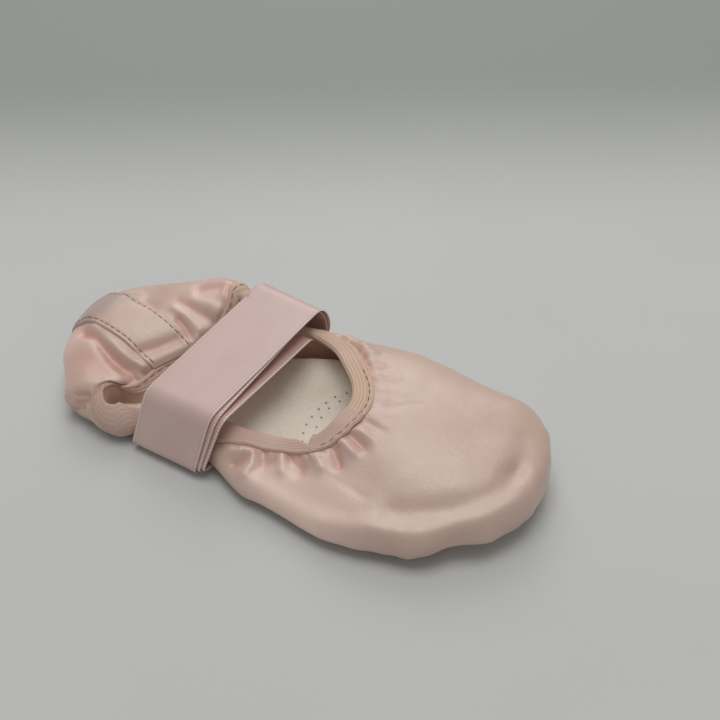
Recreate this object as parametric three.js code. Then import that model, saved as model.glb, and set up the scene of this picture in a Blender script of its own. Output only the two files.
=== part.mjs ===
// A soft satin ballet slipper, empty on the floor, with its ribbon wound round the waist of the shoe.
// Millimetres. +X to the toe, +Y to the far side, +Z up. The origin is on the floor under the middle of the shoe.
import * as THREE from 'three';

// Driving sizes of the slipper
const LENGTH = 170;
const TOE_SWING = 4;
const TOE_POWER = 2.7;
const HEEL_POWER = 2.8;
const WALL = 1.3;
const GAP = 0.3;

// Sole stack, from the floor up
const PAD_THICK = 1.5;
const RIM_LEVEL = PAD_THICK + GAP;
const INSOLE_THICK = 1.6;
const RIM_INSET = 8;
const ARCH = { heelEnd: -51, heelTop: -39, toeTop: -12, toeEnd: 8, lift: 2.6 };
const TOE_SPRING = { start: 60, end: 85, lift: 1.6 };

// Trim
const BINDING = { outerLeg: 9, innerLeg: 6, thick: 1.0, gap: 0.4 };
const HEEL_STRIP = { spread: 0.0245, thick: 0.9, topBelowCollar: 9.6, lowest: -0.55 };
const FRONT_PAD = { rear: 3, front: 73, inset: 11, rearRound: 26, frontRound: 30 };
const HEEL_PAD = { rear: -78, front: -51, inset: 9, rearRound: 17, frontRound: 13 };

// Ribbon: width and thickness of the satin, and the step outward from one turn to the next
const RIBBON = { width: 25.4, thick: 0.4, step: 0.7, bendRadius: 2.6 };

// Half widths of the flattened slipper along its length, before the ends round off
const WIDTHS = [
  { place: 'heel end', x: -85, half: 33 },
  { place: 'heel', x: -57, half: 33 },
  { place: 'ribbon rear', x: -38, half: 26.4 },
  { place: 'ribbon front', x: -13, half: 26.4 },
  { place: 'waist', x: 7, half: 33.4 },
  { place: 'ball', x: 36, half: 38.5 },
  { place: 'toe end', x: 85, half: 35.5 },
];

// Sections of the upper. round: place on the outline in sixteenths, from the toe by way of the far side.
// x, y, z: the collar edge. side: height of the widest line. rise: how far the wall climbs upright there.
// reach and lift: how full the crown is behind the collar edge.
const SECTIONS = [
  { place: 'throat', round: 0, x: 22.5, y: 0.5, z: 23.5, side: 9.5, rise: 11, reach: 0.45, lift: 2 },
  { place: 'far toe', round: 1, x: 19.5, y: 7, z: 23.5, side: 9.5, rise: 13, reach: 0.5, lift: 2.5 },
  { place: 'far ball', round: 2, x: 13.5, y: 13, z: 23.3, side: 10, rise: 13, reach: 0.45, lift: 2.5 },
  { place: 'far throat', round: 3, x: 5, y: 19.5, z: 22.8, side: 10, rise: 11, reach: 0.4, lift: 2 },
  { place: 'far waist', round: 4, x: -7, y: 22.5, z: 22.5, side: 9, rise: 9, reach: 0.35, lift: 1.5 },
  { place: 'far ribbon', round: 5, x: -20, y: 22.6, z: 23.4, side: 7, rise: 9, reach: 0.3, lift: 1 },
  { place: 'far corner', round: 6, x: -33.5, y: 23.8, z: 25.5, side: 9, rise: 13, reach: 0.3, lift: 5 },
  { place: 'far shoulder', round: 6.5, x: -37.4, y: 17.5, z: 21.2, side: 10, rise: 15, reach: 0.32, lift: 12 },
  { place: 'far heel', round: 7, x: -39, y: 9, z: 16.2, side: 11, rise: 16, reach: 0.33, lift: 17 },
  { place: 'heel', round: 8, x: -41.5, y: -2.5, z: 12.3, side: 11.5, rise: 15.5, reach: 0.3, lift: 15 },
  { place: 'near heel', round: 9, x: -47, y: -13.5, z: 10.6, side: 9.5, rise: 11, reach: 0.35, lift: 11.5 },
  { place: 'near slot', round: 9.6, x: -53, y: -17.5, z: 10.6, side: 8.2, rise: 8, reach: 0.35, lift: 6.5 },
  { place: 'near corner', round: 10.2, x: -55, y: -23.2, z: 11.2, side: 6.6, rise: 3.5, reach: 0.35, lift: 1.5 },
  { place: 'near ribbon', round: 11, x: -25, y: -19.4, z: 17.3, side: 7.2, rise: 2.5, reach: 0.2, lift: 0.3 },
  { place: 'near waist', round: 12, x: -4, y: -20, z: 18, side: 7.4, rise: 3.5, reach: 0.3, lift: 0.8 },
  { place: 'near throat', round: 13, x: 9, y: -18.3, z: 18.2, side: 7.6, rise: 8, reach: 0.42, lift: 3 },
  { place: 'near ball', round: 14, x: 17.3, y: -15.5, z: 19, side: 8, rise: 10, reach: 0.45, lift: 3 },
  { place: 'near toe', round: 15, x: 21.5, y: -8, z: 22, side: 9.5, rise: 10, reach: 0.45, lift: 2.5 },
];
const FULL_ROUND = 16;

// Bends of the innermost turn of ribbon, seen along the shoe. x: the ribbon's rear edge on the first turn.
// drift: how far that edge moves on each later turn.
const RIBBON_START = { y: 19, z: 12.5, x: -25.5 };
const RIBBON_BENDS = [
  { place: 'near collar', y: -23.1, z: 20.7, x: -33.5, drift: -1.4 },
  { place: 'near floor', y: -30.7, z: 3.2, x: -37.5, drift: -1.4 },
  { place: 'far floor', y: 31, z: 3.2, x: -33, drift: -3 },
  { place: 'far collar', y: 29.6, z: 28.8, x: -23.5, drift: -5.2 },
];
const RIBBON_TURNS = 2;

const STATIONS = 96;
const LOWER_STEPS = 4;
const UPPER_STEPS = 5;

const smooth = (t) => {
  const c = THREE.MathUtils.clamp(t, 0, 1);
  return c * c * (3 - 2 * c);
};

// Height of the sole's underside over the floor: the arch, and the spring of the toe
function soleLift(x) {
  const up = smooth((x - ARCH.heelEnd) / (ARCH.heelTop - ARCH.heelEnd));
  const down = smooth((x - ARCH.toeTop) / (ARCH.toeEnd - ARCH.toeTop));
  const spring = smooth((x - TOE_SPRING.start) / (TOE_SPRING.end - TOE_SPRING.start));
  return ARCH.lift * (up - down) + TOE_SPRING.lift * spring;
}

function halfWidth(x) {
  const next = WIDTHS.findIndex((row) => row.x >= x);
  const b = WIDTHS[Math.max(next, 1)];
  const a = WIDTHS[Math.max(next, 1) - 1];
  return THREE.MathUtils.lerp(a.half, b.half, smooth((x - a.x) / (b.x - a.x)));
}

const swing = (x) => TOE_SWING * Math.max(x / (LENGTH / 2), 0) ** 2;

// The widest line of the slipper in plan, walked at an even pace from the toe
function planOutline(count) {
  const dense = [];
  for (let i = 0; i <= 720; i++) {
    const a = (i / 720) * 2 * Math.PI;
    const power = 2 / (Math.cos(a) > 0 ? TOE_POWER : HEEL_POWER);
    const x = (LENGTH / 2) * Math.sign(Math.cos(a)) * Math.abs(Math.cos(a)) ** power;
    const y = halfWidth(x) * Math.sign(Math.sin(a)) * Math.abs(Math.sin(a)) ** power;
    dense.push(new THREE.Vector2(x, y + swing(x)));
  }
  const walked = [0];
  for (let i = 1; i < dense.length; i++) walked.push(walked[i - 1] + dense[i].distanceTo(dense[i - 1]));
  const points = [];
  let seat = 0;
  for (let i = 0; i < count; i++) {
    const way = (i / count) * walked[walked.length - 1];
    while (walked[seat + 1] <= way) seat++;
    const part = (way - walked[seat]) / (walked[seat + 1] - walked[seat]);
    points.push(dense[seat].clone().lerp(dense[seat + 1], part));
  }
  return points;
}

const FINE = 1920;
const outline = planOutline(FINE);

function outlineAt(u) {
  const i = Math.round((((u % 1) + 1) % 1) * FINE) % FINE;
  const ahead = outline[(i + 4) % FINE];
  const behind = outline[(i + FINE - 4) % FINE];
  const along = ahead.clone().sub(behind).normalize();
  return { point: outline[i], out: new THREE.Vector2(along.y, -along.x) };
}

// A column of the section table at any place round the shoe, on a closed smooth curve
function sectionValue(column, u) {
  const count = SECTIONS.length;
  const place = (((u % 1) + 1) % 1) * FULL_ROUND;
  const i = SECTIONS.findLastIndex((row) => row.round <= place);
  const [before, a, b, after] = [i - 1, i, i + 1, i + 2].map((k) => {
    const row = SECTIONS[(k + count) % count];
    return { at: row.round + FULL_ROUND * Math.floor(k / count), value: row[column] };
  });
  const span = b.at - a.at;
  const t = (place - a.at) / span;
  const slopeA = ((b.value - before.value) / (b.at - before.at)) * span;
  const slopeB = ((after.value - a.value) / (after.at - a.at)) * span;
  const cubic = 2 * (a.value - b.value) + slopeA + slopeB;
  const square = 3 * (b.value - a.value) - 2 * slopeA - slopeB;
  return ((cubic * t + square) * t + slopeA) * t + a.value;
}

// A point of the upper's outer face. v runs from -1 at the turned-under rim, by 0 at the widest line,
// to 1 at the collar edge.
function upperPoint(u, v) {
  const { point, out } = outlineAt(u);
  const side = sectionValue('side', u);
  if (v < 0) {
    const turn = -v * Math.PI / 2;
    const inset = RIM_INSET * (1 - Math.cos(turn));
    const x = point.x - out.x * inset;
    const rim = RIM_LEVEL + soleLift(x);
    return new THREE.Vector3(x, point.y - out.y * inset, side - (side - rim) * Math.sin(turn));
  }
  const collar = new THREE.Vector3(sectionValue('x', u), sectionValue('y', u), sectionValue('z', u));
  const wide = new THREE.Vector3(point.x, point.y, side);
  const upright = wide.clone().setZ(side + sectionValue('rise', u));
  const crown = collar.clone().lerp(wide, sectionValue('reach', u)).setZ(collar.z + sectionValue('lift', u));
  return new THREE.CubicBezierCurve3(wide, upright, crown, collar).getPoint(v);
}

function upperNormal(u, v) {
  const step = 0.02;
  const low = Math.max(v - step, -1);
  const high = Math.min(v + step, 1);
  const round = upperPoint(u + 0.004, v).sub(upperPoint(u - 0.004, v));
  const climb = upperPoint(u, high).sub(upperPoint(u, low));
  return round.cross(climb).normalize();
}

const offsetPoint = (u, v, distance) => upperPoint(u, v).addScaledVector(upperNormal(u, v), distance);

// The v of the point that lies a given length below the collar edge, along the wall
function belowCollar(u, length) {
  const step = 0.02;
  let walked = 0;
  let last = upperPoint(u, 1);
  for (let v = 1 - step; v > -1; v -= step) {
    const next = upperPoint(u, v);
    const stride = next.distanceTo(last);
    if (walked + stride >= length) return v + step * (1 - (length - walked) / stride);
    walked += stride;
    last = next;
  }
  return -1;
}

// Joins sections of equal point count into one closed solid. A ring closes on itself, others get flat ends.
function skin(sections, ring) {
  const count = sections[0].length;
  const position = sections.flat().flatMap((p) => [p.x, p.y, p.z]);
  const index = [];
  const rows = ring ? sections.length : sections.length - 1;
  for (let i = 0; i < rows; i++) {
    const a = i * count;
    const b = ((i + 1) % sections.length) * count;
    for (let j = 0; j < count; j++) {
      const k = (j + 1) % count;
      index.push(a + j, a + k, b + k, a + j, b + k, b + j);
    }
  }
  if (!ring) {
    for (const [row, turned] of [[0, true], [sections.length - 1, false]]) {
      const middle = new THREE.Vector3();
      sections[row].forEach((p) => middle.addScaledVector(p, 1 / count));
      const hub = position.length / 3;
      position.push(middle.x, middle.y, middle.z);
      for (let j = 0; j < count; j++) {
        const a = row * count + j;
        const b = row * count + (j + 1) % count;
        index.push(...(turned ? [hub, b, a] : [hub, a, b]));
      }
    }
  }
  if (signedVolume(position, index) < 0) {
    for (let i = 0; i < index.length; i += 3) [index[i], index[i + 1]] = [index[i + 1], index[i]];
  }
  const geometry = new THREE.BufferGeometry();
  geometry.setAttribute('position', new THREE.Float32BufferAttribute(position, 3));
  geometry.setIndex(index);
  geometry.computeVertexNormals();
  return geometry;
}

function signedVolume(position, index) {
  const corner = (i) => new THREE.Vector3().fromArray(position, 3 * index[i]);
  let sum = 0;
  for (let i = 0; i < index.length; i += 3) sum += corner(i).dot(corner(i + 1).cross(corner(i + 2)));
  return sum / 6;
}

const evenly = (count, make) => Array.from({ length: count }, (_, i) => make(i / count));

// Levels of v up the wall, with rows where a leg of the binding lies
const LEG_ROWS = [1, 0.66, 0.33, 0.08];

function wallLevels(u, leg) {
  const legEnd = belowCollar(u, leg);
  const wide = Math.min(0, legEnd - 0.12);
  const levels = [];
  for (let i = 0; i < LOWER_STEPS; i++) levels.push(THREE.MathUtils.lerp(-1, wide, i / LOWER_STEPS));
  for (let i = 0; i < UPPER_STEPS; i++) levels.push(THREE.MathUtils.lerp(wide, legEnd, i / UPPER_STEPS));
  return [...levels, ...LEG_ROWS.map((part) => belowCollar(u, part * leg)), 1];
}

// The satin shell: its outer face from the rim to the collar, and back down its inner face
function upperGeometry() {
  const sections = evenly(STATIONS, (u) => [
    ...wallLevels(u, BINDING.outerLeg).map((v) => upperPoint(u, v)),
    ...wallLevels(u, BINDING.innerLeg).toReversed().map((v) => offsetPoint(u, v, -WALL)),
  ]);
  return skin(sections, true);
}

// Elastic folded over the collar edge: outer leg, bridge over the edge, inner leg
function bindingGeometry() {
  const sections = evenly(STATIONS, (u) => {
    const up = upperPoint(u, 1).sub(upperPoint(u, 0.97)).normalize();
    const face = (length, distance) => offsetPoint(u, belowCollar(u, length), distance);
    const edge = (over, distance) => offsetPoint(u, 1, distance).addScaledVector(up, over);
    const outside = BINDING.gap + BINDING.thick;
    const inside = -WALL - BINDING.gap;
    return [
      ...LEG_ROWS.map((part) => face(part * BINDING.outerLeg, BINDING.gap)),
      edge(BINDING.gap, BINDING.gap),
      edge(BINDING.gap, inside),
      ...LEG_ROWS.toReversed().map((part) => face(part * BINDING.innerLeg, inside)),
      ...LEG_ROWS.map((part) => face(part * BINDING.innerLeg, inside - BINDING.thick)),
      edge(outside, inside - BINDING.thick),
      edge(outside, outside),
      ...LEG_ROWS.toReversed().map((part) => face(part * BINDING.outerLeg, outside)),
    ];
  });
  return skin(sections, true);
}

// Satin strip up the back of the heel, from under the heel to the binding
function heelStripGeometry() {
  const across = 6;
  const rows = 14;
  const sections = [];
  for (let i = 0; i <= rows; i++) {
    const edge = (side) => {
      const u = 0.5 + side * HEEL_STRIP.spread;
      const top = belowCollar(u, HEEL_STRIP.topBelowCollar);
      return { u, v: THREE.MathUtils.lerp(HEEL_STRIP.lowest, top, i / rows) };
    };
    const line = [];
    for (let j = 0; j <= across; j++) line.push(edge((2 * j) / across - 1));
    sections.push([
      ...line.map(({ u, v }) => offsetPoint(u, v, GAP)),
      ...line.toReversed().map(({ u, v }) => offsetPoint(u, v, GAP + HEEL_STRIP.thick)),
    ]);
  }
  return skin(sections, false);
}

// A plate that follows the outline: rows of inset from the widest line, share of that loop, and height
function plateGeometry(rows) {
  const loop = ({ inset, share, level }) => evenly(STATIONS, (u) => {
    const { point, out } = outlineAt(u);
    const x = (point.x - out.x * inset) * share;
    return new THREE.Vector3(x, (point.y - out.y * inset) * share, level + soleLift(x));
  });
  return skin(rows.map(loop), false);
}

// Canvas sock: a flange on the turned-under rim, and a thicker middle that fills the rim's opening
function insoleGeometry() {
  const seat = RIM_LEVEL + WALL + 2 * GAP;
  const top = seat + INSOLE_THICK;
  const middle = RIM_INSET + 1.2;
  const under = 7.2;
  const edge = 5.8;
  return plateGeometry([
    { inset: middle, share: 0.4, level: RIM_LEVEL },
    { inset: middle, share: 0.75, level: RIM_LEVEL },
    { inset: middle, share: 1, level: RIM_LEVEL },
    { inset: middle, share: 1, level: seat },
    { inset: under, share: 1, level: seat },
    { inset: edge, share: 1, level: top },
    { inset: edge, share: 0.75, level: top },
    { inset: edge, share: 0.4, level: top },
  ]);
}

// A suede pad under the sole, with rounded ends, between two places along the shoe
function padGeometry({ rear, front, inset, rearRound, frontRound }) {
  const steps = 22;
  const sections = [];
  for (let i = 0; i <= steps; i++) {
    const x = THREE.MathUtils.lerp(rear + 0.4, front - 0.4, (1 - Math.cos((i / steps) * Math.PI)) / 2);
    const roundOff = (from, radius) => Math.sqrt(1 - (1 - Math.min(Math.abs(x - from) / radius, 1)) ** 2);
    const half = (halfWidth(x) - inset) * roundOff(rear, rearRound) * roundOff(front, frontRound);
    const low = soleLift(x);
    const corners = [[-half, low], [half, low], [half, low + PAD_THICK], [-half, low + PAD_THICK]];
    sections.push(corners.map(([y, z]) => new THREE.Vector3(x, y + swing(x), z)));
  }
  return skin(sections, false);
}

// The wound ribbon's path: sewn inside the far wall, over the opening, then round and round the waist
function ribbonPath() {
  const count = RIBBON_BENDS.length;
  const middleY = RIBBON_BENDS.reduce((sum, bend) => sum + bend.y, 0) / count;
  const middleZ = RIBBON_BENDS.reduce((sum, bend) => sum + bend.z, 0) / count;
  const bends = [];
  for (let i = 0; i < RIBBON_TURNS * count + 2; i++) {
    const bend = RIBBON_BENDS[i % count];
    const out = (RIBBON.step * i) / count;
    const x = bend.x + bend.drift * Math.floor(i / count);
    const y = bend.y + Math.sign(bend.y - middleY) * out;
    bends.push(new THREE.Vector3(x, y, bend.z + Math.sign(bend.z - middleZ) * out));
  }
  return [new THREE.Vector3(RIBBON_START.x, RIBBON_START.y, RIBBON_START.z), ...bends];
}

// Rounds each bend of a path with an arc-like curve
function roundedPath(corners, radius) {
  const points = [corners[0]];
  for (let i = 1; i < corners.length - 1; i++) {
    const [before, here, after] = corners.slice(i - 1, i + 2);
    const enter = here.clone().add(before.clone().sub(here).setLength(radius));
    const leave = here.clone().add(after.clone().sub(here).setLength(radius));
    points.push(...new THREE.QuadraticBezierCurve3(enter, here, leave).getPoints(4));
  }
  points.push(corners[corners.length - 1]);
  return points;
}

function ribbonGeometry() {
  const path = roundedPath(ribbonPath(), RIBBON.bendRadius);
  const sections = path.map((point, i) => {
    const ahead = path[Math.min(i + 1, path.length - 1)];
    const behind = path[Math.max(i - 1, 0)];
    const out = new THREE.Vector3(0, ahead.z - behind.z, behind.y - ahead.y).setLength(RIBBON.thick);
    const across = new THREE.Vector3(RIBBON.width, 0, 0);
    const faceOut = point.clone().add(out);
    return [point, point.clone().add(across), faceOut.clone().add(across), faceOut];
  });
  return skin(sections, false);
}

const satin = new THREE.MeshStandardMaterial({ color: 0xf0c4b8, roughness: 0.38 });
const elastic = new THREE.MeshStandardMaterial({ color: 0xdcb3a0, roughness: 0.85 });
const canvas = new THREE.MeshStandardMaterial({ color: 0xd9cfba, roughness: 0.95 });
const suede = new THREE.MeshStandardMaterial({ color: 0xc9a48e, roughness: 0.95 });
const ribbonSatin = new THREE.MeshStandardMaterial({ color: 0xdcbdb8, roughness: 0.35 });

const slipper = new THREE.Group();
const addPiece = (name, geometry, material) => {
  const piece = new THREE.Mesh(geometry, material);
  piece.name = name;
  slipper.add(piece);
};

addPiece('upper', upperGeometry(), satin);
addPiece('collar_binding', bindingGeometry(), elastic);
addPiece('heel_strip', heelStripGeometry(), satin);
addPiece('insole', insoleGeometry(), canvas);
addPiece('front_sole_pad', padGeometry(FRONT_PAD), suede);
addPiece('heel_sole_pad', padGeometry(HEEL_PAD), suede);
addPiece('ribbon', ribbonGeometry(), ribbonSatin);

// Stand the slipper with the middle of its plan over the origin
const around = new THREE.Box3().setFromObject(slipper);
const middle = around.getCenter(new THREE.Vector3());
slipper.children.forEach((piece) => piece.geometry.translate(-middle.x, -middle.y, -around.min.z));

export default slipper;
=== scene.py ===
import math
import bpy
import numpy as np
from mathutils import Matrix, Vector


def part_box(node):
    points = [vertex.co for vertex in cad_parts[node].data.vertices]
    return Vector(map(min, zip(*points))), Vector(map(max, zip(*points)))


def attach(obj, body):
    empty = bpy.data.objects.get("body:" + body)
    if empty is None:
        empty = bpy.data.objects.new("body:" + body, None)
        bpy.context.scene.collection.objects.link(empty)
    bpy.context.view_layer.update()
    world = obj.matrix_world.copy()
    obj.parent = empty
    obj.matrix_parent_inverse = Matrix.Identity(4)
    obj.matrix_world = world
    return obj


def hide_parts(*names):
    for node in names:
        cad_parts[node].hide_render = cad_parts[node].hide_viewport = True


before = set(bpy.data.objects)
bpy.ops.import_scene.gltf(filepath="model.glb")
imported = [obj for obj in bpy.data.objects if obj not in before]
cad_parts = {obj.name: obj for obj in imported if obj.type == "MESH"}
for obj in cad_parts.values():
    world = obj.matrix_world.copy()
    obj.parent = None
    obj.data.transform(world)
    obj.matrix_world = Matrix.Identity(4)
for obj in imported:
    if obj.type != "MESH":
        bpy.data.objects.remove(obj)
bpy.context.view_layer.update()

mm = 0.001
uvPerMm = 0.1  # patterns that follow a surface count in centimetres
mergeDistance = 2e-6  # metres
ribbonWidth = 25.4  # common one-inch satin ribbon
scene = bpy.context.scene
scene.view_settings.view_transform = 'Standard'


def deselect():
    bpy.ops.object.select_all(action='DESELECT')


deselect()

# Camera at the photo's angle, sizes in mm and degrees
photoView = dict(
    turn=30, height=42, roll=-1, distance=342.3, lookAt=(8.23, 32.83, 8.25),
    lens=50, sensor=36, nearest=10,
)


def addCamera(view):
    turn, height, roll = (math.radians(view[key]) for key in ('turn', 'height', 'roll'))
    flat = math.cos(height)
    back = Vector((math.sin(turn) * flat, -math.cos(turn) * flat, math.sin(height)))
    right = Vector((math.cos(turn), math.sin(turn), 0))
    up = back.cross(right)
    tiltedRight = math.cos(roll) * right + math.sin(roll) * up
    tiltedUp = math.cos(roll) * up - math.sin(roll) * right
    place = (Vector(view['lookAt']) + view['distance'] * back) * mm
    turned = Matrix((tiltedRight, tiltedUp, back)).transposed()
    bpy.ops.object.camera_add(location=place, rotation=turned.to_euler())
    camera = bpy.context.object
    camera.data.lens = view['lens']
    camera.data.sensor_width = view['sensor']
    camera.data.clip_start = view['nearest'] * mm
    scene.camera = camera


addCamera(photoView)
print('camera set')


# Node helpers for the finishes
def newFinish(name, roughness, **sockets):
    finish = bpy.data.materials.new(name)
    finish.use_nodes = True
    tree = finish.node_tree
    shader = tree.nodes['Principled BSDF']
    shader.inputs['Roughness'].default_value = roughness
    for socket, value in sockets.items():
        shader.inputs[socket.replace('_', ' ')].default_value = value
    return finish, tree, shader


def addNode(tree, kind, settings=None, **sockets):
    made = tree.nodes.new('ShaderNode' + kind)
    for key, value in (settings or {}).items():
        setattr(made, key, value)
    for key, value in sockets.items():
        socket = made.inputs[key.replace('_', ' ')]
        if isinstance(value, bpy.types.NodeSocket):
            tree.links.new(value, socket)
        else:
            socket.default_value = value
    return made


def objectSpot(tree):
    return addNode(tree, 'TexCoord').outputs['Object']


def surfaceSpot(tree, scale=(1, 1, 1), turn=0):
    flat = addNode(tree, 'TexCoord').outputs['UV']
    return addNode(tree, 'Mapping', Vector=flat, Scale=scale, Rotation=(0, 0, turn)).outputs['Vector']


def cloud(tree, spot, scale, detail=3, roughness=0.55):
    made = addNode(tree, 'TexNoise', Vector=spot, Scale=scale, Detail=detail, Roughness=roughness)
    return made.outputs['Fac']


def threads(tree, spot, scale, direction='X', distortion=0.0):
    bands = dict(wave_type='BANDS', bands_direction=direction)
    made = addNode(tree, 'TexWave', bands, Vector=spot, Scale=scale, Distortion=distortion, Detail=1)
    return made.outputs['Fac']


def stretch(tree, value, low, high, toLow=0.0, toHigh=1.0):
    ranged = addNode(tree, 'MapRange', dict(interpolation_type='SMOOTHSTEP'), Value=value)
    for key, amount in (('From Min', low), ('From Max', high), ('To Min', toLow), ('To Max', toHigh)):
        ranged.inputs[key].default_value = amount
    return ranged.outputs['Result']


def patches(tree, spot, scale, low, high, most=1.0, detail=3):
    return stretch(tree, cloud(tree, spot, scale, detail), low, high, 0, most)


def blendTints(tree, share, first, second):
    mix = addNode(tree, 'Mix', dict(data_type='RGBA'))
    tree.links.new(share, mix.inputs[0])
    for socket, tint in ((mix.inputs[6], first), (mix.inputs[7], second)):
        if isinstance(tint, bpy.types.NodeSocket):
            tree.links.new(tint, socket)
        else:
            socket.default_value = (*tint, 1)
    return mix.outputs[2]


def surfaceMark(tree, name):
    return addNode(tree, 'Attribute', dict(attribute_name=name)).outputs['Fac']


def paint(tree, shader, tint, heights):
    # colour, then pairs of height and depth in mm, each laid on the one before
    tree.links.new(tint, shader.inputs['Base Color'])
    last = None
    for height, depth in heights:
        bump = addNode(tree, 'Bump', Height=height, Distance=depth * mm, Strength=1.0)
        if last:
            tree.links.new(last, bump.inputs['Normal'])
        last = bump.outputs['Normal']
    tree.links.new(last, shader.inputs['Normal'])


# In each look: tints, scales of the patterns, depths of the relief in mm
# In the satin the paler tint is painted sheen, the fold tint painted shade in hollows, and the dull grey tint
# real dirt on the toe, painted shade on the heel strip's back and darkening along the rim
satinLook = dict(
    light=(0.70, 0.495, 0.41), soft=(0.645, 0.445, 0.36), paintedSheen=(0.86, 0.625, 0.535),
    fold=(0.68, 0.34, 0.265), grimeAndShade=(0.46, 0.36, 0.32), sheen=(1.0, 0.9, 0.86, 1),
    roughness=(0.31, 0.40),
    scale=dict(clouds=45, grain=2300, gloss=220, weave=11, creases=160),
    depth=dict(weave=0.015, grain=0.055, creases=0.14),
)


def makeSatin(look):
    finish, tree, shader = newFinish('pinkSatin', 0.34, Sheen_Weight=0.2, Sheen_Roughness=0.35,
                                     Specular_IOR_Level=1.0)
    shader.inputs['Sheen Tint'].default_value = look['sheen']
    spot, scale, depth = objectSpot(tree), look['scale'], look['depth']
    tint = blendTints(tree, patches(tree, spot, scale['clouds'], 0.35, 0.65), look['light'], look['soft'])
    drawnOut = addNode(tree, 'Mapping', Vector=spot, Scale=(0.5, 1, 1)).outputs['Vector']
    grain = cloud(tree, drawnOut, scale['grain'], 2, 0.5)
    tint = blendTints(tree, stretch(tree, grain, 0.35, 0.65, 0, 0.9), tint, look['soft'])
    # painted sheen, painted shade in folds, then dirt with painted shade, each laid over the tint before
    for mark in ('paintedSheen', 'fold', 'grimeAndShade'):
        tint = blendTints(tree, surfaceMark(tree, mark), tint, look[mark])
    gloss = stretch(tree, cloud(tree, spot, scale['gloss']), 0.3, 0.7, *look['roughness'])
    tree.links.new(gloss, shader.inputs['Roughness'])
    weave = threads(tree, surfaceSpot(tree), scale['weave'], 'Y', 0.6)
    creases = cloud(tree, spot, scale['creases'])
    paint(tree, shader, tint, [
        (weave, depth['weave']), (grain, depth['grain']), (creases, depth['creases']),
    ])
    return finish


liningLook = dict(
    light=(0.84, 0.58, 0.43), dark=(0.75, 0.49, 0.35),
    scale=dict(clouds=120, weave=5, fuzz=900), depth=dict(weave=0.05, fuzz=0.06),
)


def makeLining(look):
    finish, tree, shader = newFinish('cottonLining', 0.9, Sheen_Weight=0.1)
    spot, scale, depth = objectSpot(tree), look['scale'], look['depth']
    tint = blendTints(tree, patches(tree, spot, scale['clouds'], 0.3, 0.7), look['light'], look['dark'])
    warp, weft = (threads(tree, surfaceSpot(tree), scale['weave'], way, 0.8) for way in 'XY')
    fuzz = cloud(tree, spot, scale['fuzz'])
    paint(tree, shader, tint, [(warp, depth['weave']), (weft, depth['weave']), (fuzz, depth['fuzz'])])
    return finish


# The valley tints are painted shade in the rib valleys and by the stitched groove
elasticLook = dict(
    ridge=(0.74, 0.55, 0.41), valley=(0.60, 0.40, 0.29), worn=(0.71, 0.51, 0.42),
    nearRidge=(0.66, 0.455, 0.38), nearValley=(0.62, 0.415, 0.345),
    scale=dict(wear=70, knit=5.2, fuzz=2200), depth=dict(knit=0.06, fuzz=0.05),
)


def makeElastic(look):
    finish, tree, shader = newFinish('ribbedElastic', 0.75, Sheen_Weight=0.1, Sheen_Roughness=0.5)
    spot, scale, depth = objectSpot(tree), look['scale'], look['depth']
    rib = surfaceMark(tree, 'rib')
    # painted shade: a darker tint where the rib mark is low
    farTint = blendTints(tree, rib, look['valley'], look['ridge'])
    nearTint = blendTints(tree, rib, look['nearValley'], look['nearRidge'])
    tint = blendTints(tree, surfaceMark(tree, 'nearHalf'), farTint, nearTint)
    tint = blendTints(tree, patches(tree, spot, scale['wear'], 0.5, 0.75, 0.6), tint, look['worn'])
    knit = threads(tree, surfaceSpot(tree), scale['knit'], 'X', 1.2)
    fuzz = cloud(tree, spot, scale['fuzz'], 2)
    paint(tree, shader, tint, [(knit, depth['knit']), (fuzz, depth['fuzz'])])
    return finish


canvasLook = dict(
    light=(0.97, 0.89, 0.77), dark=(0.90, 0.81, 0.68), worn=(0.86, 0.76, 0.62),
    scale=dict(twill=6, nap=900, wear=60), depth=dict(twill=0.05, nap=0.08),
)


def makeCanvas(look):
    finish, tree, shader = newFinish('napCanvas', 0.95, Sheen_Weight=0.2, Sheen_Roughness=0.6)
    spot, scale, depth = objectSpot(tree), look['scale'], look['depth']
    twill = threads(tree, surfaceSpot(tree, turn=0.9), scale['twill'], 'X', 0.7)
    nap = cloud(tree, spot, scale['nap'], 4, 0.6)
    tint = blendTints(tree, stretch(tree, nap, 0.25, 0.75), look['dark'], look['light'])
    tint = blendTints(tree, patches(tree, spot, scale['wear'], 0.5, 0.75, 0.5), tint, look['worn'])
    paint(tree, shader, tint, [(twill, depth['twill']), (nap, depth['nap'])])
    return finish


suedeLook = dict(
    light=(0.42, 0.30, 0.22), dark=(0.30, 0.205, 0.15), scuffed=(0.22, 0.165, 0.13),
    scale=dict(clouds=300, scuffs=55, nap=1800), depth=dict(nap=0.12),
)


def makeSuede(look):
    finish, tree, shader = newFinish('tanSuede', 0.95, Sheen_Weight=0.3, Sheen_Roughness=0.5)
    spot, scale = objectSpot(tree), look['scale']
    clouds = patches(tree, spot, scale['clouds'], 0.35, 0.65, detail=5)
    tint = blendTints(tree, clouds, look['dark'], look['light'])
    tint = blendTints(tree, patches(tree, spot, scale['scuffs'], 0.5, 0.7, 0.7), tint, look['scuffed'])
    paint(tree, shader, tint, [(cloud(tree, spot, scale['nap'], 4), look['depth']['nap'])])
    return finish


# The two bands by each edge are in mm from the ribbon's middle. The inner tint is painted shade on the turns
# that lie under the outer one
ribbonLook = dict(
    light=(0.68, 0.475, 0.43), soft=(0.64, 0.44, 0.395), edge=(0.80, 0.66, 0.62),
    seam=(0.54, 0.36, 0.32), inner=(0.68, 0.42, 0.36), back=(0.68, 0.41, 0.35),
    seamBand=(11.3, 11.6), edgeBand=(11.95, 12.05),
    scale=dict(mottle=1.5, picot=2.6, cords=8, grain=1700, creases=110),
    depth=dict(cords=0.02, grain=0.03, creases=0.12),
)


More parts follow.
